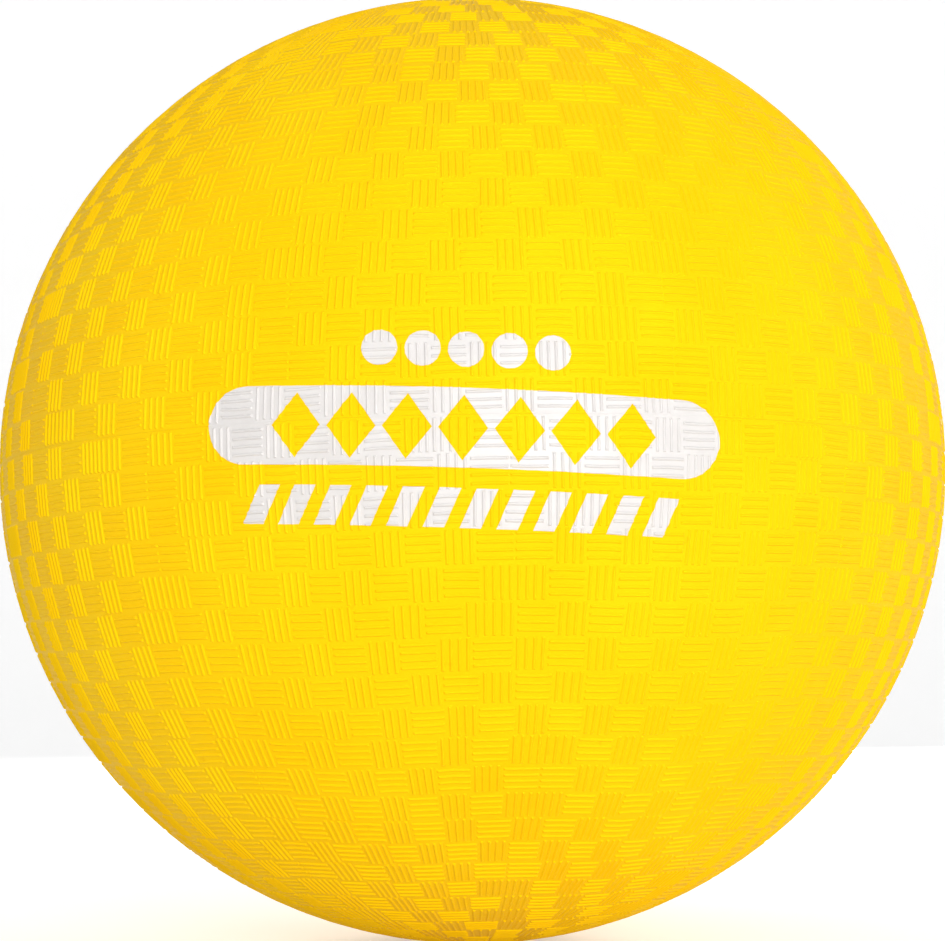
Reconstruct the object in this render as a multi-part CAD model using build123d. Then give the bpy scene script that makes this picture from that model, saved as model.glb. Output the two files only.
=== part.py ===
from build123d import *
import math
import os

# A playground ball: a butyl bladder with a needle valve, a carcass of nylon winding and a rubber ply
# round it, and a rubber cover moulded in two halves with a white print on its front.
# Millimetres. The origin is the ball's centre. +Z runs from the centre out through the valve, the
# moulding line is the circle at z = 0, and the print faces -Y.

# Layers, from the outside in
BALL_RADIUS = 108.0  # an 8.5 inch ball, over the tops of the cover's ribs
COVER_THICKNESS = 1.2
PLY_THICKNESS = 0.5
WINDING_THICKNESS = 0.5
BLADDER_THICKNESS = 0.7
LAYER_GAP = 0.02  # keeps the bonded layers apart as separate solids

# Print, a film on the tops of the ribs, given enough thickness to mesh well
PRINT_THICKNESS = 0.2
PRINT_GAP = 0.03
PRINT_LONGITUDE = -0.85  # degrees, the print's centre seen from the ball's centre
PRINT_LATITUDE = -1.3
PRINT_SLOPE = -2.9  # degrees, the print dips towards +X
BAND_ARC = 54.0  # degrees, the band's width
BAND_HEIGHT = 15.0
CUT_OUTS = 7
CUT_OUT_PITCH = 10.6
CUT_OUT_WIDTH = 9.4
CUT_OUT_HEIGHT = 12.4
DISCS = 5
DISC_PITCH = 8.2
DISC_RADIUS = 3.4
DISC_ROW_RISE = 14.9  # from the band's middle line
BARS = 12
BAR_PITCH = 6.9
BAR_WIDTH = 4.0
BAR_HEIGHT = 7.4
BAR_LEAN = 3.0  # how far a bar's top stands to the right of its foot
BAR_ROW_DROP = 15.0

# Valve, about the +Z axis
MOUTH_STEP = 0.25  # the valve's face lies this far under the ribs' tops
HOUSING_RADIUS = 7.0
HOUSING_DEPTH = 13.0  # from the valve's face to the bottom of the housing
STEM_RADIUS = 5.6  # the housing inside the bladder
FLANGE_RADIUS = 13.0
FLANGE_THICKNESS = 1.5
PATCH_RADIUS = 20.0
PATCH_THICKNESS = 0.8
PLUG_HEAD_RADIUS = 4.4
PLUG_HEAD_HEIGHT = 1.2
PLUG_RADIUS = 3.4
PLUG_LENGTH = 10.0
PLUG_CLEARANCE = 0.04
NEEDLE_BORE_RADIUS = 1.05
NEEDLE_BORE_LENGTH = 6.0
SLIT_LENGTH = 2.4
SLIT_WIDTH = 0.15
AIR_HOLE_RADIUS = 1.3

# Worked-out radii and heights
COVER_INNER = BALL_RADIUS - COVER_THICKNESS
PLY_OUTER = COVER_INNER - LAYER_GAP
WINDING_OUTER = PLY_OUTER - PLY_THICKNESS - LAYER_GAP
BLADDER_OUTER = WINDING_OUTER - WINDING_THICKNESS - LAYER_GAP
BLADDER_INNER = BLADDER_OUTER - BLADDER_THICKNESS
PATCH_OUTER = BLADDER_INNER - LAYER_GAP
FLANGE_OUTER = PATCH_OUTER - PATCH_THICKNESS - LAYER_GAP
MOUTH_RADIUS = BALL_RADIUS - MOUTH_STEP
NECK_HOLE_RADIUS = HOUSING_RADIUS + LAYER_GAP
HOUSING_BOTTOM = MOUTH_RADIUS - HOUSING_DEPTH
PLUG_TOP = MOUTH_RADIUS
HEAD_SEAT = PLUG_TOP - PLUG_HEAD_HEIGHT
PLUG_TIP = PLUG_TOP - PLUG_LENGTH
PRINT_INNER = BALL_RADIUS + PRINT_GAP


def shell(outer, inner):
    """A hollow sphere round the ball's centre."""
    return Sphere(outer) - Sphere(inner)


def post(radius, bottom, top):
    """A cylinder on the valve's axis, between two heights."""
    return Pos(0, 0, (bottom + top) / 2) * Cylinder(radius, top - bottom)


def neck_hole():
    """The hole that each layer has for the valve's housing."""
    return post(NECK_HOLE_RADIUS, BLADDER_INNER / 2, 2 * BALL_RADIUS)


def half_space(sign):
    """The space above (+1) or below (-1) the moulding line, clear of it by half a gap."""
    height = 2 * BALL_RADIUS
    middle = sign * (height + LAYER_GAP) / 2
    return Pos(0, 0, middle) * Box(2 * height, 2 * height, height)


def cover_half(sign):
    cover = shell(BALL_RADIUS, COVER_INNER) & half_space(sign)
    return cover - neck_hole() if sign > 0 else cover


def layer(outer, thickness):
    """A closed inner layer with its hole for the valve."""
    return shell(outer, outer - thickness) - neck_hole()


def valve_patch():
    """The reinforcing ring bonded inside the bladder, round the housing's neck."""
    ring = shell(PATCH_OUTER, PATCH_OUTER - PATCH_THICKNESS) & post(PATCH_RADIUS, 0, BALL_RADIUS)
    return ring - neck_hole()


def plug_pocket():
    """The stepped hole that the plug sits in, open at the valve's face."""
    head = post(PLUG_HEAD_RADIUS + PLUG_CLEARANCE, HEAD_SEAT - PLUG_CLEARANCE, 2 * BALL_RADIUS)
    return head + post(PLUG_RADIUS + PLUG_CLEARANCE, PLUG_TIP - PLUG_CLEARANCE, HEAD_SEAT)


def valve_housing():
    neck = post(HOUSING_RADIUS, FLANGE_OUTER - FLANGE_THICKNESS, BALL_RADIUS) & Sphere(MOUTH_RADIUS)
    flange = shell(FLANGE_OUTER, FLANGE_OUTER - FLANGE_THICKNESS) & post(FLANGE_RADIUS, 0, BALL_RADIUS)
    stem = post(STEM_RADIUS, HOUSING_BOTTOM, FLANGE_OUTER)
    air_hole = post(AIR_HOLE_RADIUS, HOUSING_BOTTOM - 1, PLUG_TIP)
    return neck + flange + stem - plug_pocket() - air_hole


def valve_plug():
    """The self-sealing core: a blind guide for the needle, then a slit that closes by itself."""
    head = post(PLUG_HEAD_RADIUS, HEAD_SEAT, BALL_RADIUS) & Sphere(MOUTH_RADIUS)
    body = head + post(PLUG_RADIUS, PLUG_TIP, HEAD_SEAT)
    needle_bore = post(NEEDLE_BORE_RADIUS, PLUG_TOP - NEEDLE_BORE_LENGTH, BALL_RADIUS)
    slit_height = PLUG_LENGTH - NEEDLE_BORE_LENGTH + LAYER_GAP
    slit = Pos(0, 0, PLUG_TIP + slit_height / 2 - LAYER_GAP) * Box(SLIT_LENGTH, SLIT_WIDTH, slit_height)
    return body - needle_bore - slit


def print_plane():
    """A flat plane in front of the ball, facing -Y and centred on the print."""
    across = BALL_RADIUS * math.sin(math.radians(PRINT_LONGITUDE))
    up = BALL_RADIUS * math.sin(math.radians(PRINT_LATITUDE))
    return Plane(origin=(across, -2 * BALL_RADIUS, up), x_dir=(1, 0, 0), z_dir=(0, -1, 0))


def film(outline):
    """Turns a flat outline to the print's slope and lays it on the ball as a thin film."""
    block = extrude(print_plane() * Rot(0, 0, PRINT_SLOPE) * outline, amount=-2 * BALL_RADIUS)
    return block & shell(PRINT_INNER + PRINT_THICKNESS, PRINT_INNER)


def row(count, pitch):
    """The middles of a centred row of marks."""
    return [(i - (count - 1) / 2) * pitch for i in range(count)]


def print_band():
    """A round-ended band with a row of diamonds left open in it."""
    length = 2 * BALL_RADIUS * math.sin(math.radians(BAND_ARC / 2))
    outline = SlotOverall(length, BAND_HEIGHT)
    w, h = CUT_OUT_WIDTH / 2, CUT_OUT_HEIGHT / 2
    for x in row(CUT_OUTS, CUT_OUT_PITCH):
        outline -= Pos(x, 0) * make_face(Polyline((-w, 0), (0, -h), (w, 0), (0, h), close=True))
    return film(outline)


def print_discs():
    discs = [Pos(x, DISC_ROW_RISE) * Circle(DISC_RADIUS) for x in row(DISCS, DISC_PITCH)]
    return film(Sketch() + discs)


def print_bars():
    """A row of leaning bars under the band."""
    w, h, lean = BAR_WIDTH / 2, BAR_HEIGHT / 2, BAR_LEAN / 2
    bar = make_face(Polyline((-w - lean, -h), (w - lean, -h), (w + lean, h), (-w + lean, h), close=True))
    bars = [Pos(x, -BAR_ROW_DROP) * bar for x in row(BARS, BAR_PITCH)]
    return film(Sketch() + bars)


PARTS = {
    "cover_upper": cover_half(1),
    "cover_lower": cover_half(-1),
    "carcass_ply": layer(PLY_OUTER, PLY_THICKNESS),
    "nylon_winding": layer(WINDING_OUTER, WINDING_THICKNESS),
    "bladder": layer(BLADDER_OUTER, BLADDER_THICKNESS),
    "valve_patch": valve_patch(),
    "valve_housing": valve_housing(),
    "valve_plug": valve_plug(),
    "print_band": print_band(),
    "print_discs": print_discs(),
    "print_bars": print_bars(),
}

os.makedirs("parts", exist_ok=True)
for name, solid in PARTS.items():
    export_step(solid, f"parts/{name}.step")
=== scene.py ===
import math
import random

import bmesh
import bpy
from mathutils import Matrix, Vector
from mathutils.bvhtree import BVHTree
from mathutils.geometry import delaunay_2d_cdt


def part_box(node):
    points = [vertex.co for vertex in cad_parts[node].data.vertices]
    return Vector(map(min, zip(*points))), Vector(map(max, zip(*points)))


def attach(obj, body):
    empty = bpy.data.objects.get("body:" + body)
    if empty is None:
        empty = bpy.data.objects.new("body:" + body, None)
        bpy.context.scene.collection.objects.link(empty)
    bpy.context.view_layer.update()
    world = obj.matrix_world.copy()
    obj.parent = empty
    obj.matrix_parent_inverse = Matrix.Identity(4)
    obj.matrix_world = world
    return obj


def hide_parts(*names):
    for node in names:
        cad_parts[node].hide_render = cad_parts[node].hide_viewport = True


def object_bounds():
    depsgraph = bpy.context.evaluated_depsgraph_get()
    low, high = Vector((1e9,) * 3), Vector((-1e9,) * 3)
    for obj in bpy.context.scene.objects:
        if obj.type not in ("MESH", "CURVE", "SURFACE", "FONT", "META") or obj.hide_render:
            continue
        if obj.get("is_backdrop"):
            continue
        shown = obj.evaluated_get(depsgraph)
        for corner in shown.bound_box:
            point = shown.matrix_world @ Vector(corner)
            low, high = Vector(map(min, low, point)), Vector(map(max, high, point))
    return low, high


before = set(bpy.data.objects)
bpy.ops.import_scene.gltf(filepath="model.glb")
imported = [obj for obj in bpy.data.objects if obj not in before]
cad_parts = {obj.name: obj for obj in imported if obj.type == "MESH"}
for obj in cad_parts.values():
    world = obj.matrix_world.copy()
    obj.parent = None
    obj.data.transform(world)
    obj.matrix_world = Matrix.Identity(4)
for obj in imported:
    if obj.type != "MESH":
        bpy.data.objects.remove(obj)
cad_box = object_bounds()

# A playground ball. The weave on its cover is made in millimetres and degrees round the ball's centre:
# longitude is 0 at the front (-Y) and rises towards +X, latitude is 0 at the moulding line.
MM = 0.001
LAYER_GAP = 0.02
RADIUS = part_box("cover_lower")[1].x / MM
COVER_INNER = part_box("carcass_ply")[1].x / MM + LAYER_GAP
WINDING_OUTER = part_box("nylon_winding")[1].x / MM
WINDING_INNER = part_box("bladder")[1].x / MM + LAYER_GAP
NECK_HOLE_RADIUS = 7.02

# The weave: rows of tiles from the moulding line to the pole, each tile a group of raised ribs that
# runs across (H) or up (V). Both halves come from one master, and the lower half is it turned over.
# Each row: tiles in a sector, where its seam stands off the master's seam (degrees), its first tile.
SECTORS = 9
SECTOR = 360.0 / SECTORS
ROW_HEIGHT = 3.75
ROWS = [
    (11, 7.6, "V"), (11, 0.5, "H"), (11, -6.6, "V"), (11, 0.0, "H"), (11, 0.0, "V"), (11, 2.6, "V"),
    (10, 0.0, "H"), (10, -0.2, "V"), (10, -0.6, "H"), (9, -4.2, "V"), (9, -4.2, "H"), (9, -3.8, "V"),
    (8, -1.0, "H"), (8, -0.6, "V"), (7, -1.0, "H"), (7, -1.0, "V"), (6, -1.0, "H"), (5, -1.0, "V"),
    (4, -2.0, "H"), (4, -1.0, "V"), (3, -1.0, "H"), (2, -1.0, "V"),
]
UPPER_SEAM = 20.7  # the longitude of one of each half's seams
LOWER_SEAM = 44.2
UPPER_SAG = -0.25  # degrees, how far a half's rows sag towards its pole between two seams
LOWER_SAG = 0.45
NARROW_ROW = 5  # the row whose tiles beside the seam are narrow
NARROW = 0.78
H_TO_V = 1.2  # an H tile is this much wider than a V tile
MIDDLE_WIDTH = 0.95  # a tile's width in the middle of a sector, and what it gains towards the seams
WIDTH_GAIN = 0.1
WIDTH_SPREAD = 0.02
RING_STEP = 1.1  # degrees between the vertices of a row's edge, at most

# The ribs
RIB_HEIGHT = 0.3
VALLEY = RADIUS - RIB_HEIGHT
RIB_HALF = 0.34
RIB_SHOULDER = 0.42  # where the rib's shoulder is, as a part of its half width
SHOULDER_HEIGHT = 0.82  # and as a part of its height
RIB_TAPER = 0.3  # a rib's end slopes back by this much up to its top
RIB_INSET = 0.15  # an H rib's ends stand this far in from its tile's sides, and a V rib's half as far
SEAM_INSET = 0.05
H_RIBS = 4
H_RIB_SPAN = 0.89  # the part of a row's height that an H tile's ribs take
V_RIB_PITCH = 1.46
TILT_SPREAD = 0.012
BOW_SPREAD = 0.07
SIDE_SPREAD = 0.04
END_SPREAD = 0.12
WANDER = 0.02
GROUND = 0.99  # how nearly a face of the ground faces straight out, and a rib's flank less than
FLANK = 0.9
MERGE_DEGREES = 1e-9
END_EDGE = math.radians(45)  # faces of a rib that meet at more than this meet at the edge of its end
CREASE = 50  # degrees

# The moulding line, the smooth crown round a pole, and the inside
FLASH_HEIGHT = 0.09
FLASH_HALF_ANGLE = 0.14
EDGE_ANGLE = 0.006
CROWN = [(0.25, 0.0), (0.55, 0.3), (0.95, 0.36), (1.35, 0.3), (1.65, 0.12)]  # degrees up, rise
CROWN_SIDES = 48
LIP_ANGLE = 0.25
LIP_RISES = (0.12, 0.02)
POLE_CIRCLE = (32, 87, 0.27)  # the sides, latitude and rise of the last circle round a closed pole
INNER_RINGS = 14
INNER_SIDES = 72
INNER_MARGIN = 2  # degrees from the hole to the first inner circle


def on_ball(lon, lat, radius):
    """A point in metres from degrees and a radius in millimetres."""
    a, b = math.radians(lon), math.radians(lat)
    return (
        radius * math.cos(b) * math.sin(a) * MM,
        -radius * math.cos(b) * math.cos(a) * MM,
        radius * math.sin(b) * MM,
    )


def arc_mm(degrees):
    return math.radians(degrees) * VALLEY


def zip_loops(outer, inner):
    """Triangles between two closed loops of (angle, vertex), each in rising angle, outer one first."""
    if len(inner) == 1:
        pairs = zip(outer, outer[1:] + outer[:1])
        return [(a[1], b[1], inner[0][1]) for a, b in pairs]
    if len(outer) == 1:
        pairs = zip(inner, inner[1:] + inner[:1])
        return [(b[1], a[1], outer[0][1]) for a, b in pairs]
    faces = []
    i = j = 0
    turn = 2 * math.pi
    while i < len(outer) or j < len(inner):
        next_i, next_j = (i + 1) % len(outer), (j + 1) % len(inner)
        angle_i = outer[next_i][0] + (turn if i + 1 >= len(outer) else 0)
        angle_j = inner[next_j][0] + (turn if j + 1 >= len(inner) else 0)
        a, b = outer[i % len(outer)][1], inner[j % len(inner)][1]
        if j >= len(inner) or (i < len(outer) and angle_i <= angle_j):
            faces.append((a, outer[next_i][1], b))
            i += 1
        else:
            faces.append((a, inner[next_j][1], b))
            j += 1
    return faces


class Half:
    """One moulded half of the cover, made in the master's own longitudes, above its moulding line."""

    def __init__(self, seed):
        self.rng = random.Random(seed)
        self.points = []  # (longitude, latitude, radius)
        self.faces = []

    def point(self, lon, lat, radius):
        self.points.append((lon, lat, radius))
        return len(self.points) - 1

    def row_bounds(self, row):
        """The longitudes of a row's tile sides over the whole turn, with each tile's kind."""
        count, shift, first = ROWS[row]
        kinds = [first if k % 2 == 0 else "HV".replace(first, "") for k in range(count)]
        sides, tiles = [], []
        for sector in range(SECTORS):
            widths = []
            for k, kind in enumerate(kinds):
                off_middle = abs(2 * k - count + 1) / count
                width = (H_TO_V if kind == "H" else 1.0) * (MIDDLE_WIDTH + WIDTH_GAIN * off_middle)
                if row == NARROW_ROW and k in (0, count - 1):
                    width *= NARROW
                widths.append(width * self.rng.uniform(1 - WIDTH_SPREAD, 1 + WIDTH_SPREAD))
            lon = shift + sector * SECTOR
            for k, kind in enumerate(kinds):
                sides.append(lon)
                tiles.append((kind, k == 0 and count % 2 == 1, k == count - 1 and count % 2 == 1))
                lon += SECTOR * widths[k] / sum(widths)
        return sides, tiles

    def rib(self, u_ends, v, tilt, bow, stations, place):
        """Adds one rib along u and returns its two base lines, low v side first."""
        half = [(-1, 0), (-RIB_SHOULDER, SHOULDER_HEIGHT)]
        profile = half + [(0, 1)] + [(-across, height) for across, height in reversed(half)]
        low, high = u_ends
        rows = []
        for s in range(stations):
            part = s / (stations - 1)
            wander = self.rng.uniform(-WANDER, WANDER)
            line = []
            for across, height in profile:
                inset = RIB_TAPER * height
                u = low + inset + part * (high - low - 2 * inset)
                bend = bow * (1 - (2 * part - 1) ** 2) + tilt * u + wander
                line.append(place(u, v + bend + across * RIB_HALF, VALLEY + height * RIB_HEIGHT))
            rows.append(line)
        for a, b in zip(rows, rows[1:]):
            for k in range(len(profile) - 1):
                self.faces.append((a[k], b[k], b[k + 1], a[k + 1]))
        self.faces.append(tuple(reversed(rows[-1])))
        self.faces.append(tuple(rows[0]))
        return [r[0] for r in rows], [r[-1] for r in rows]

    def tile(self, kind, outline, box, seam_left, seam_right):
        """Fills one tile: its ribs, and the ground between and round them."""
        west, east, south, north = box
        mid_lon, mid_lat = (west + east) / 2, (south + north) / 2
        half_wide = arc_mm((east - west) / 2 * math.cos(math.radians(mid_lat)))
        half_high = arc_mm((north - south) / 2)
        level = math.cos(math.radians((north - south) / 2))

        def place_at(x, y, radius):
            """A point of a rib, lowered to the flat ground that runs from the tile's foot to its head."""
            lon = mid_lon + x / half_wide * (east - west) / 2
            lat = mid_lat + y / half_high * (north - south) / 2
            sunk = VALLEY * (1 - level / math.cos(math.radians(lat - mid_lat)))
            return self.point(lon, lat, radius - sunk)

        rng = self.rng
        if kind == "H":
            count, stations = H_RIBS, 3
            low = -half_wide + (SEAM_INSET if seam_left else RIB_INSET)
            high = half_wide - (SEAM_INSET if seam_right else RIB_INSET)
            pitch = 2 * half_high * H_RIB_SPAN / H_RIBS
            place = place_at
        else:
            count, stations = max(2, round(2 * half_wide / V_RIB_PITCH)), 2
            low, high = -half_high + RIB_INSET / 2, half_high - RIB_INSET / 2
            pitch = 2 * half_wide / count

            def place(u, v, radius):
                return place_at(-v, u, radius)

        tilt = rng.gauss(0, TILT_SPREAD)
        bow = rng.gauss(0, BOW_SPREAD) if kind == "H" else 0.0
        feet = []
        for k in range(count):
            v = (k - (count - 1) / 2) * pitch + rng.uniform(-SIDE_SPREAD, SIDE_SPREAD)
            ends = low + rng.uniform(0, END_SPREAD), high - rng.uniform(0, END_SPREAD)
            feet.append(self.rib(ends, v, tilt, bow, stations, place))
        self.ground(outline, feet, (mid_lon, mid_lat))

    def ground(self, outline, feet, middle):
        """Triangles from a tile's outline to the feet of its ribs, worked out on a flat map of the tile."""
        corners = list(outline)
        owner = [None] * len(outline)
        edges = [(k, (k + 1) % len(outline)) for k in range(len(outline))]
        for rib, lines in enumerate(feet):
            start, count = len(corners), len(lines[0])
            for side in (0, 1):
                corners += lines[side]
                owner += [(rib, side)] * count
                first = start + side * count
                edges += [(first + k, first + k + 1) for k in range(count - 1)]
            edges += [(start + k, start + count + k) for k in range(count)]
        narrowing = math.cos(math.radians(middle[1]))
        flat = []
        for v in corners:
            lon, lat, _ = self.points[v]
            flat.append(Vector(((lon - middle[0]) * narrowing, lat - middle[1])))
        _, _, faces, made_from, *_ = delaunay_2d_cdt(flat, edges, [], 0, MERGE_DEGREES)
        for face in faces:
            used = [made_from[k][0] for k in face]
            under = {owner[k] for k in used}
            if None in under or len({rib for rib, _ in under}) > 1 or len(under) == 1:
                self.faces.append(tuple(corners[k] for k in used))

    def weave(self):
        """Makes every row of tiles and returns the vertices of its lowest and highest circles."""
        rows = [self.row_bounds(r) for r in range(len(ROWS))]
        rings = []
        for ring in range(len(ROWS) + 1):
            lons = set()
            for r in (ring - 1, ring):
                if 0 <= r < len(ROWS):
                    lons |= {round(lon % 360, 3) for lon in rows[r][0]}
            lat = max(ring * ROW_HEIGHT, FLASH_HALF_ANGLE)
            lons = self.filled(sorted(lons), RING_STEP / math.cos(math.radians(lat)))
            rings.append([(lon, self.point(lon, lat, VALLEY)) for lon in lons])
        for r, (sides, tiles) in enumerate(rows):
            south, north = max(r * ROW_HEIGHT, FLASH_HALF_ANGLE), (r + 1) * ROW_HEIGHT
            for k, (kind, seam_left, seam_right) in enumerate(tiles):
                west = round(sides[k] % 360, 3)
                east = round(sides[(k + 1) % len(sides)] % 360, 3)
                east += 360 if east <= west else 0
                lower = self.between(rings[r], west, east)
                upper = self.between(rings[r + 1], west, east)
                self.tile(kind, lower + upper[::-1], (west, east, south, north), seam_left, seam_right)
        return [rings[0], rings[-1]]

    def filled(self, lons, step):
        """Puts more longitudes between those of a ring, so that its edges stay near the round ball."""
        out = []
        for west, east in zip(lons, lons[1:] + [lons[0] + 360]):
            parts = max(1, math.ceil((east - west) / step))
            out += [round((west + (east - west) * k / parts) % 360, 4) for k in range(parts)]
        return sorted(set(out))

    def between(self, ring, west, east):
        """A ring's vertices from west to east, in the tile's own run of longitudes."""
        found = []
        for turn in (0, 360):
            for lon, v in ring:
                if west - 1e-6 <= lon + turn <= east + 1e-6:
                    found.append(self.same_side(v, lon + turn))
        return found

    def same_side(self, v, lon):
        """Moves a vertex's longitude by whole turns, to the run of longitudes that a tile is in."""
        self.points[v] = (lon, self.points[v][1], self.points[v][2])
        return v

    def ring(self, sides, lat, radius):
        return [(360 * k / sides, self.point(360 * k / sides, lat, radius)) for k in range(sides)]

    def join(self, rings):
        """Joins circles in a chain that runs up the outside and down the inside."""
        for a, b in zip(rings, rings[1:]):
            loops = [[(math.radians(lon), v) for lon, v in loop] for loop in (a, b)]
            self.faces += zip_loops(*loops)

    def close(self, holed):
        """Adds the smooth pole, the inside and the moulding line's flash, and closes the half."""
        low, high = self.weave()
        hole = 90 - math.degrees(math.asin(NECK_HOLE_RADIUS / RADIUS))
        last = len(ROWS) * ROW_HEIGHT
        outside = [high] + [self.ring(CROWN_SIDES, last + up, VALLEY + rise) for up, rise in CROWN]
        inner = []
        if holed:
            for lat, rise in zip((hole - LIP_ANGLE, hole), LIP_RISES):
                outside.append(self.ring(CROWN_SIDES, lat, VALLEY + rise))
            inner.append(self.ring(CROWN_SIDES, hole, COVER_INNER))
        else:
            sides, lat, rise = POLE_CIRCLE
            outside.append(self.ring(sides, lat, VALLEY + rise))
            outside.append(self.ring(1, 90, RADIUS))
            inner.append(self.ring(1, 90, COVER_INNER))
        for k in range(INNER_RINGS, 0, -1):
            inner.append(self.ring(INNER_SIDES, k * (hole - INNER_MARGIN) / INNER_RINGS, COVER_INNER))
        lip = [(lon, self.point(lon, EDGE_ANGLE, COVER_INNER)) for lon, _ in low]
        flash = [(lon, self.point(lon, EDGE_ANGLE, VALLEY + FLASH_HEIGHT)) for lon, _ in low]
        inner += [lip, flash, low]
        if holed:
            self.join(outside + inner)
        else:
            self.join(outside)
            self.join(inner)


def triangles(faces):
    """Cuts faces into fans of triangles."""
    return [(f[0], b, c) for f in faces for b, c in zip(f[1:], f[2:])]


def crisp_ribs(piece):
    """Marks a rib's foot and the edges of its ends as sharp, so that only its round top is smooth."""
    form = bmesh.new()
    form.from_mesh(piece.data)
    for edge in form.edges:
        rises = [abs(face.normal.dot(face.calc_center_median().normalized())) for face in edge.link_faces]
        foot = max(rises) > GROUND and min(rises) < FLANK
        edge.smooth = not foot and edge.calc_face_angle() < END_EDGE
    form.to_mesh(piece.data)
    form.free()


def mesh_object(name, points, faces, crease=CREASE):
    mesh = bpy.data.meshes.new(name)
    mesh.from_pydata(points, [], faces)
    mesh.validate()
    mesh.shade_smooth()
    mesh.set_sharp_from_angle(angle=math.radians(crease))
    piece = bpy.data.objects.new(name, mesh)
    bpy.context.scene.collection.objects.link(piece)
    return piece


def sagged(lon, lat, amount):
    """The latitude after the weave sags between two seams, none at the moulding line and the pole."""
    return lat + amount * math.sin(math.pi * lon / SECTOR) ** 2 * math.sin(math.radians(2 * lat))


def cover(name, node, seed, upper):
    """One textured half of the cover, in place of the plain CAD shell."""
    half = Half(seed)
    half.close(upper)
    if upper:
        points = [on_ball(lon + UPPER_SEAM, sagged(lon, lat, UPPER_SAG), r) for lon, lat, r in half.points]
    else:
        points = [on_ball(LOWER_SEAM - lon, -sagged(lon, lat, LOWER_SAG), r) for lon, lat, r in half.points]
    piece = mesh_object(name, points, triangles(half.faces))
    crisp_ribs(piece)
    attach(piece, "ball")
    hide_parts(node)
    return piece


class Nodes:
    """A short way to write a node material."""

    def __init__(self, name):
        self.material = bpy.data.materials.new(name)
        self.material.use_nodes = True
        self.tree = self.material.node_tree
        self.shader = self.tree.nodes["Principled BSDF"]
        self.object_place = self.add("ShaderNodeTexCoord").outputs["Object"]

    def add(self, kind, **values):
        """Adds a node, and sets its inputs and its settings by name."""
        node = self.tree.nodes.new(kind)
        for key, value in values.items():
            if key in node.inputs:
                self.feed(node.inputs[key], value)
            else:
                setattr(node, key, value)
        return node

    def feed(self, socket, value):
        """Gives an input a number or a colour, or the output of another node."""
        if isinstance(value, bpy.types.NodeSocket):
            self.tree.links.new(value, socket)
        else:
            socket.default_value = value

    def set(self, **values):
        """Sets inputs of the surface, named with _ for a space."""
        for key, value in values.items():
            self.feed(self.shader.inputs[key.replace("_", " ")], value)

    def noise(self, size_mm, detail=3.0, rough=0.55, place=None):
        """A noise whose blobs are about size_mm across, from 0 to 1."""
        node = self.add("ShaderNodeTexNoise", Scale=1.0 / (size_mm * MM), Detail=detail, Roughness=rough)
        self.feed(node.inputs["Vector"], place or self.object_place)
        return node.outputs["Fac"]

    def ramp(self, value, low, high, out_low=0.0, out_high=1.0):
        node = self.add("ShaderNodeMapRange")
        for k, v in enumerate((value, low, high, out_low, out_high)):
            self.feed(node.inputs[k], v)
        return node.outputs[0]

    def mix(self, part, a, b):
        """Mixes two colours by a number from 0 to 1."""
        node = self.add("ShaderNodeMix", data_type="RGBA")
        factor = next(k for k in node.inputs if k.enabled and k.name == "Factor")
        first, second = (next(k for k in node.inputs if k.enabled and k.name == name) for name in "AB")
        for socket, value in ((factor, part), (first, a), (second, b)):
            self.feed(socket, value)
        return next(k for k in node.outputs if k.enabled)

    def bands(self, pitch_mm, axis):
        """Even bands across one of the object's axes, from 0 to 1."""
        node = self.add("ShaderNodeTexWave", bands_direction=axis, Scale=math.pi / (10 * pitch_mm * MM))
        self.feed(node.inputs["Vector"], self.object_place)
        return node.outputs["Fac"]

    def larger(self, a, b):
        node = self.add("ShaderNodeMath", operation="MAXIMUM")
        self.feed(node.inputs[0], a)
        self.feed(node.inputs[1], b)
        return node.outputs[0]

    def bump(self, height, depth_mm, strength=1.0, under=None):
        node = self.add("ShaderNodeBump", Strength=strength, Distance=depth_mm * MM, Height=height)
        if under:
            self.feed(node.inputs["Normal"], under)
        return node.outputs["Normal"]


def yellow_rubber():
    """Satin moulded rubber: two close yellows, fine grain, and a soft sheen."""
    n = Nodes("yellow_rubber")
    cloud = n.ramp(n.noise(28.0), 0.35, 0.65)
    colour = n.mix(cloud, (0.9, 0.55, 0.003, 1), (0.9, 0.58, 0.004, 1))
    speck = n.ramp(n.noise(2.6, 2.0), 0.68, 0.78)
    colour = n.mix(n.ramp(speck, 0, 1, 0, 0.35), colour, (0.8, 0.43, 0.005, 1))
    rough = n.ramp(n.noise(1.2, 4.0), 0.3, 0.7, 0.42, 0.56)
    grain = n.bump(n.noise(0.22, 2.0), 0.012, 0.5)
    skin = n.bump(n.noise(1.4, 3.0), 0.05, 0.5, grain)
    n.set(Base_Color=colour, Roughness=rough, Normal=skin)
    n.set(Specular_IOR_Level=0.07, Specular_Tint=(1.0, 0.8, 0.15, 1))
    return n.material


def white_ink():
    """Screen-printed ink: matt white, slightly blotchy, with a fine grain."""
    n = Nodes("white_ink")
    colour = n.mix(n.ramp(n.noise(6.0), 0.35, 0.7), (0.64, 0.615, 0.6, 1), (0.68, 0.655, 0.64, 1))
    rough = n.ramp(n.noise(0.8), 0.3, 0.7, 0.4, 0.55)
    n.set(Base_Color=colour, Roughness=rough, Normal=n.bump(n.noise(0.35, 2.0), 0.01, 0.5))
    return n.material


def dusted(n, base, amount):
    """A rubber's colour with the paler dusty patches that talc leaves on it."""
    dusty = tuple(0.75 * c + 0.05 for c in base)
    dust = n.ramp(n.noise(9.0, 5.0), 0.45, 0.75, 0, amount)
    return n.mix(dust, (*base, 1), (*dusty, 1))


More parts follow.
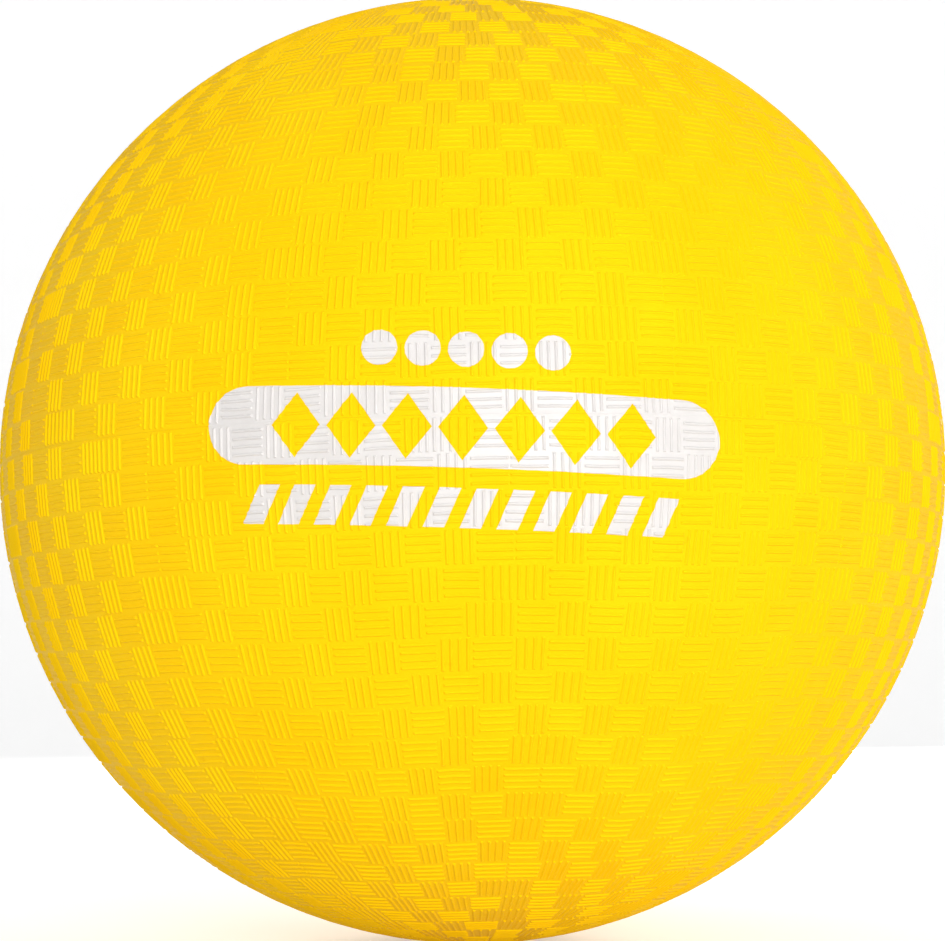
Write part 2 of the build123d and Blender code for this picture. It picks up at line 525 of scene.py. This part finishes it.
def smooth_rubber(name, base, roughness, dust=0.5):
    """Inner rubber with a fine grain, flow marks and dusty patches."""
    n = Nodes(name)
    rough = n.ramp(n.noise(1.5, 4.0), 0.3, 0.7, roughness - 0.08, roughness + 0.08)
    grain = n.bump(n.noise(0.4, 3.0), 0.02, 0.6)
    flow = n.bump(n.noise(7.0, 3.0), 0.15, 0.5, grain)
    n.set(Base_Color=dusted(n, base, dust), Roughness=rough, Normal=flow)
    return n.material


def ply_rubber():
    """Black sheet rubber with the print of the cloth that it was rolled up in."""
    n = Nodes("ply_rubber")
    cloth = n.larger(n.larger(n.bands(1.1, "X"), n.bands(1.1, "Y")), n.bands(1.1, "Z"))
    black = dusted(n, (0.02, 0.02, 0.022), 0.7)
    colour = n.mix(n.ramp(cloth, 0.6, 1.0, 0, 0.35), black, (0.045, 0.045, 0.048, 1))
    rough = n.ramp(n.noise(1.5, 4.0), 0.3, 0.7, 0.6, 0.8)
    grain = n.bump(n.noise(0.5, 3.0), 0.03, 0.5)
    n.set(Base_Color=colour, Roughness=rough, Normal=n.bump(cloth, 0.08, 0.8, grain))
    return n.material


def nylon_thread():
    """Off-white twisted thread, stained here and there by the rubber cement that holds it."""
    n = Nodes("nylon_thread")
    cement = n.ramp(n.noise(16.0, 4.0), 0.45, 0.7, 0, 0.7)
    colour = n.mix(cement, (0.72, 0.69, 0.6, 1), (0.5, 0.4, 0.24, 1))
    rough = n.ramp(n.noise(0.9, 3.0), 0.3, 0.7, 0.35, 0.6)
    n.set(Base_Color=colour, Roughness=rough, Normal=n.bump(n.noise(0.25, 2.0), 0.03, 0.8))
    return n.material


def seen_from_centre(x, y, z):
    """A point in front of the ball, on the plane y = -1 as seen from the ball's centre.

    Straight edges stay straight on it."""
    return Vector((-x / y, -z / y))


def direction(flat):
    """The direction from the ball's centre to a point of that plane."""
    return Vector((flat[0], -1, flat[1])).normalized()


def circle(cx, cz, radius, sides=40):
    turn = 2 * math.pi / sides
    return [(cx + radius * math.cos(turn * k), cz + radius * math.sin(turn * k)) for k in range(sides)]


def band_outline(length, height):
    """A round-ended band about the middle, with the long sides cut into short steps."""
    r, half = height / 2, length / 2 - height / 2
    run = [half * (2 * k / BAND_STEPS - 1) for k in range(BAND_STEPS)]
    bend = [math.pi * (k / BAND_BENDS - 0.5) for k in range(BAND_BENDS)]
    right = [(half + r * math.cos(a), r * math.sin(a)) for a in bend]
    left = [(-half - r * math.cos(a), -r * math.sin(a)) for a in bend]
    return [(x, -r) for x in run] + right + [(-x, r) for x in run] + left


# The print's measures repeat the CAD part's, in its own flat plane in front of the ball
PRINT_SLOPE = math.radians(-2.9)
PRINT_MIDDLE = (RADIUS * math.sin(math.radians(-0.85)), RADIUS * math.sin(math.radians(-1.3)))
BAND_LENGTH = 2 * RADIUS * math.sin(math.radians(27.0))
BAND_HEIGHT = 15.0
BAND_STEPS = 30  # along a straight side
BAND_BENDS = 24  # round an end
DIAMONDS = (7, 10.6, 4.7, 6.2)  # count, pitch, half width and half height
DISCS = (5, 8.2, 3.4, 14.9)  # count, pitch, radius, and height over the band's middle
BARS = (12, 6.9, 2.0, 3.7, 1.5, -15.0)  # count, pitch, half width, half height, half lean, height
INK_THICKNESS = 0.05
INK_LIFT = 0.012  # the gap under the ink, which keeps it a closed piece of its own
INK_CREASE = 20
EDGE_STEP = 1.2  # an outline's long sides are cut into steps of this length
UNEVEN = 0.04  # and each step stands up to this far off its place
NUDGE = 0.0002
MERGE_FLAT = 1e-7


def middles(count, pitch):
    """The middles of a centred row of marks."""
    return [(k - (count - 1) / 2) * pitch for k in range(count)]


def diamonds():
    count, pitch, w, h = DIAMONDS
    return [[(x - w, 0), (x, -h), (x + w, 0), (x, h)] for x in middles(count, pitch)]


def discs():
    count, pitch, radius, rise = DISCS
    return [circle(x, rise, radius) for x in middles(count, pitch)]


def bars():
    count, pitch, w, h, lean, drop = BARS
    bar = [(-w - lean, -h), (w - lean, -h), (w + lean, h), (-w + lean, h)]
    return [[(x + a, drop + b) for a, b in bar] for x in middles(count, pitch)]


def stepped(outline, step, rng):
    """Cuts an outline's long sides into short steps, with the slight unevenness of a hand print."""
    out = []
    for (x0, z0), (x1, z1) in zip(outline, outline[1:] + outline[:1]):
        count = max(1, round(math.hypot(x1 - x0, z1 - z0) / step))
        for k in range(count):
            part = k / count
            x, z = x0 + (x1 - x0) * part, z0 + (z1 - z0) * part
            out.append((x + rng.uniform(-UNEVEN, UNEVEN), z + rng.uniform(-UNEVEN, UNEVEN)))
    return out


def placed(outline):
    """Turns an outline to the print's slope, moves it to the print's middle and lays it on the ball."""
    c, s = math.cos(PRINT_SLOPE), math.sin(PRINT_SLOPE)
    out = []
    for a, b in outline:
        x, z = PRINT_MIDDLE[0] + c * a - s * b, PRINT_MIDDLE[1] + s * a + c * b
        out.append(seen_from_centre(x, -math.sqrt(RADIUS * RADIUS - x * x - z * z), z))
    return out


def inside(x, z, outlines):
    """True if a point is inside an odd number of the outlines."""
    odd = False
    for outline in outlines:
        for (x0, z0), (x1, z1) in zip(outline, outline[1:] + outline[:1]):
            if (z0 > z) != (z1 > z) and x < (x1 - x0) * (z - z0) / (z1 - z0) + x0:
                odd = not odd
    return odd


class CoverSurface:
    """The woven cover's outside in front, flat in the print's plane, and a way to find its height."""

    def __init__(self, pieces):
        points, polygons = [], []
        for piece in pieces:
            start = len(points)
            points += [v.co.copy() for v in piece.data.vertices]
            polygons += [[start + k for k in p.vertices] for p in piece.data.polygons]
        self.tree = BVHTree.FromPolygons(points, polygons)
        self.flat = {}
        edges = set()
        for k, p in enumerate(points):
            if p.y < -RADIUS * MM / 2 and p.length > (VALLEY - 0.1) * MM:
                self.flat[k] = seen_from_centre(*p)
        for p in polygons:
            for a, b in zip(p, p[1:] + p[:1]):
                if a in self.flat and b in self.flat:
                    edges.add((min(a, b), max(a, b)))
        self.edges = sorted(edges)

    def near(self, outlines, margin=0.07):
        """The surface's edges round some outlines, as points and pairs for the triangulation."""
        xs = [x for o in outlines for x, _ in o]
        zs = [z for o in outlines for _, z in o]
        low = min(xs) - margin, min(zs) - margin
        high = max(xs) + margin, max(zs) + margin
        index, points, pairs = {}, [], []
        for a, b in self.edges:
            ends = self.flat[a], self.flat[b]
            if any(low[0] < x < high[0] and low[1] < z < high[1] for x, z in ends):
                for v in (a, b):
                    if v not in index:
                        index[v] = len(points)
                        points.append(self.flat[v])
                pairs.append((index[a], index[b]))
        return points, pairs

    def height(self, away):
        """How far the cover's outside is from the ball's centre in a direction, in metres.

        It looks a hair to either side as well, so that the line between the halves isn't missed."""
        found = [0.0]
        for nudge in (-NUDGE, 0.0, NUDGE):
            look = (away + Vector((0, 0, nudge))).normalized()
            hit = self.tree.ray_cast(look * RADIUS * 1.1 * MM, -look)[0]
            if hit is not None and hit.dot(look) > 0:
                found.append(hit.length)
        return max(found)


def ink_piece(name, node, surface, outlines, material, seed):
    """A thin closed film of ink that follows the ribs inside its outlines."""
    rng = random.Random(seed)
    outlines = [placed(stepped(o, EDGE_STEP, rng)) for o in outlines]
    points, pairs = surface.near(outlines)
    for outline in outlines:
        start = len(points)
        points += outline
        count = len(outline)
        pairs += [(start + k, start + (k + 1) % count) for k in range(count)]
    flat, _, cells, *_ = delaunay_2d_cdt(points, pairs, [], 0, MERGE_FLAT)
    kept = []
    for cell in cells:
        x, z = (sum(flat[k][i] for k in cell) / len(cell) for i in (0, 1))
        if inside(x, z, outlines):
            kept.append(tuple(cell))
    used = sorted({k for t in kept for k in t})
    index = {k: i for i, k in enumerate(used)}
    top, bottom = [], []
    for k in used:
        away = direction(flat[k])
        height = surface.height(away)
        bottom.append(away * (height + INK_LIFT * MM))
        top.append(away * (height + (INK_LIFT + INK_THICKNESS) * MM))
    count = len(used)
    faces = [tuple(index[k] for k in t) for t in kept]
    sides = {}
    for f in faces:
        for a, b in zip(f, f[1:] + f[:1]):
            sides[(a, b)] = True
    under = [tuple(count + k for k in reversed(f)) for f in faces]
    walls = [(b, a, count + a, count + b) for a, b in sides if (b, a) not in sides]
    piece = mesh_object(name, top + bottom, faces + under + walls, INK_CREASE)
    piece.data.materials.append(material)
    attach(piece, "ball")
    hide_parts(node)
    return piece


# The wound layer: a closed bed of thread set in cement, and the last turns over it
BED_DEPTH = 0.2  # the bed's surface lies this far under the layer's outside
BED_RINGS = 40
BED_SIDES = 96
TURNS = 110
TURN_STEPS = 120
TURN_SINK = 0.08  # the crowns of the turns lie up to this far under the layer's outside
THREAD = [(-0.45, -0.15), (-0.22, 0.0), (0.22, 0.0), (0.45, -0.15)]  # across, and up to the crown
THREAD_CREASE = 40
STEEPEST = math.radians(85)  # the tilt at which a turn still passes clear of the valve


def bed_loops(points, radius):
    """Circles from the valve's hole down to the bottom pole, as (angle, vertex)."""
    edge = math.degrees(math.acos(NECK_HOLE_RADIUS / WINDING_OUTER))
    loops = []
    for k in range(BED_RINGS + 1):
        lat = edge - (edge + 90) * k / BED_RINGS
        sides = BED_SIDES if k < BED_RINGS else 1
        loops.append([(2 * math.pi * side / sides, len(points) + side) for side in range(sides)])
        points += [on_ball(360 * side / sides, lat, radius) for side in range(sides)]
    return loops


def turn(points, faces, tilt, heading, crown):
    """One turn of thread: a flat closed loop round the ball's centre."""
    axis = Vector((math.sin(tilt) * math.cos(heading), math.sin(tilt) * math.sin(heading), math.cos(tilt)))
    one = axis.orthogonal().normalized()
    other = axis.cross(one)
    start, count = len(points), len(THREAD)
    for k in range(TURN_STEPS):
        angle = 2 * math.pi * k / TURN_STEPS
        away = one * math.cos(angle) + other * math.sin(angle)
        points += [(away * (crown + rise) + axis * side) * MM for side, rise in THREAD]
        here, there = start + k * count, start + (k + 1) % TURN_STEPS * count
        for j in range(count):
            after = (j + 1) % count
            faces.append((here + j, there + j, there + after, here + after))


def winding(material, seed):
    """The nylon layer with its turns of thread, in place of the plain CAD shell."""
    rng = random.Random(seed)
    points, faces = [], []
    outside = bed_loops(points, WINDING_OUTER - BED_DEPTH)
    chain = outside[::-1] + bed_loops(points, WINDING_INNER)
    for below, above in zip(chain, chain[1:]):
        faces += zip_loops(below, above)
    for _ in range(TURNS):
        tilt = math.acos(rng.uniform(math.cos(STEEPEST), 1))
        heading = rng.uniform(0, 2 * math.pi)
        turn(points, faces, tilt, heading, WINDING_OUTER - rng.uniform(0.005, TURN_SINK))
    piece = mesh_object("nylon_winding_turns", points, faces, THREAD_CREASE)
    piece.data.materials.append(material)
    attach(piece, "ball")
    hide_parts("nylon_winding")


# The studio, in metres: a floor that curves up into a backdrop, two soft lights and an even sky
FLOOR_CORE = 0.6
FLOOR_FLAT = 2.2  # from here out the floor curves up
FLOOR_CURVE = 1.4  # the radius of that curve
CURVE_STEPS = 5
BACKDROP_TOP = 2.6
FLOOR_SIDES = 96
FLOOR_GLOW = 0.15  # the floor's own light, a little of it to keep the ball's foot bright
FLOOR_GLOW_SEEN = 0.4  # and what the camera sees of it, which takes the floor to nearly white
FRONT_LIGHT = ((0.39, -1.6, 0.08), 0.6, 21.5)  # place, side and watts
BACK_LIGHT = ((0.4, 1.7, 0.35), 0.5, 14)
SKY = 0.51


def stage_bowl():
    """A pale floor that curves up all round into a pale backdrop."""
    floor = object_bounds()[0][2]
    profile = [(FLOOR_CORE, 0.0), (FLOOR_FLAT, 0.0)]
    for k in range(CURVE_STEPS):
        a = 0.3 * (k + 1)
        profile.append((FLOOR_FLAT + FLOOR_CURVE * math.sin(a), FLOOR_CURVE * (1 - math.cos(a))))
    profile.append((FLOOR_FLAT + FLOOR_CURVE, BACKDROP_TOP))
    points = [(0.0, 0.0, floor)]
    faces = []
    for r, z in profile:
        for k in range(FLOOR_SIDES):
            angle = 2 * math.pi * k / FLOOR_SIDES
            points.append((r * math.cos(angle), r * math.sin(angle), floor + z))
    for k in range(FLOOR_SIDES):
        after = (k + 1) % FLOOR_SIDES
        faces.append((0, 1 + k, 1 + after))
        for ring in range(len(profile) - 1):
            a, b = 1 + ring * FLOOR_SIDES, 1 + (ring + 1) * FLOOR_SIDES
            faces.append((a + k, b + k, b + after, a + after))
    bowl = mesh_object("studio_floor", points, faces)
    n = Nodes("studio_white")
    n.set(Base_Color=(0.85, 0.85, 0.85, 1), Roughness=0.9)
    seen = n.add("ShaderNodeLightPath").outputs["Is Camera Ray"]
    glow = n.ramp(seen, 0.0, 1.0, FLOOR_GLOW, FLOOR_GLOW_SEEN)
    n.set(Emission_Color=(1, 1, 1, 1), Emission_Strength=glow)
    bowl.data.materials.append(n.material)
    bowl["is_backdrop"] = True


def softbox(name, place, side, watts):
    """A square soft light that looks at the ball's centre."""
    light = bpy.data.lights.new(name, "AREA")
    light.shape = "RECTANGLE"
    light.size = light.size_y = side
    light.energy = watts
    lamp = bpy.data.objects.new(name, light)
    bpy.context.scene.collection.objects.link(lamp)
    lamp.location = place
    lamp.visible_camera = False
    lamp.rotation_euler = (-Vector(place)).to_track_quat("-Z", "Y").to_euler()


def lights():
    softbox("light_front", *FRONT_LIGHT)
    softbox("light_back", *BACK_LIGHT)
    world = bpy.context.scene.world or bpy.data.worlds.new("studio_world")
    bpy.context.scene.world = world
    world.use_nodes = True
    sky = world.node_tree.nodes["Background"]
    sky.inputs["Color"].default_value = (1, 1, 1, 1)
    sky.inputs["Strength"].default_value = SKY


# The camera: five radii away, a little under the moulding line, with the ball filling the frame
CAMERA_DISTANCE = 5 * RADIUS * MM
CAMERA_ELEVATION = math.radians(-5.6)
CAMERA_ROLL = math.radians(-0.9)
BALL_IN_FRAME = 473.3 / 472.5  # the ball's radius over half the frame's width


def camera():
    limb = math.asin(RADIUS * MM / CAMERA_DISTANCE)
    data = bpy.data.cameras.new("camera")
    data.lens = data.sensor_width / 2 * BALL_IN_FRAME / math.tan(limb)
    data.clip_start = 0.01
    eye = bpy.data.objects.new("camera", data)
    bpy.context.scene.collection.objects.link(eye)
    back = -CAMERA_DISTANCE * math.cos(CAMERA_ELEVATION)
    eye.location = (0, back, CAMERA_DISTANCE * math.sin(CAMERA_ELEVATION))
    eye.rotation_euler = (math.pi / 2 - CAMERA_ELEVATION, 0, 0)
    eye.rotation_euler.rotate_axis("Z", CAMERA_ROLL)
    bpy.context.scene.camera = eye


def paint(node, material):
    """Gives a CAD piece that shows as it is its material."""
    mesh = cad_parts[node].data
    mesh.materials.clear()
    mesh.materials.append(material)


upper = cover("cover_upper_woven", "cover_upper", 11, True)
lower = cover("cover_lower_woven", "cover_lower", 12, False)
yellow = yellow_rubber()
for piece in (upper, lower):
    piece.data.materials.append(yellow)

surface = CoverSurface([upper, lower])
ink = white_ink()
band = [band_outline(BAND_LENGTH, BAND_HEIGHT)] + diamonds()
ink_piece("print_band_ink", "print_band", surface, band, ink, 21)
ink_piece("print_discs_ink", "print_discs", surface, discs(), ink, 22)
ink_piece("print_bars_ink", "print_bars", surface, bars(), ink, 23)

winding(nylon_thread(), 31)

butyl = smooth_rubber("butyl_rubber", (0.015, 0.015, 0.017), 0.4)
paint("carcass_ply", ply_rubber())
paint("bladder", butyl)
paint("valve_patch", butyl)
paint("valve_housing", smooth_rubber("valve_rubber", (0.7, 0.42, 0.006), 0.5, 0.15))
paint("valve_plug", smooth_rubber("plug_rubber", (0.012, 0.012, 0.013), 0.35, 0.15))

stage_bowl()
lights()
camera()
bpy.context.scene.view_settings.view_transform = "Standard"

visual_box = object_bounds()
[[list(corner) for corner in b] for b in (cad_box, visual_box)]
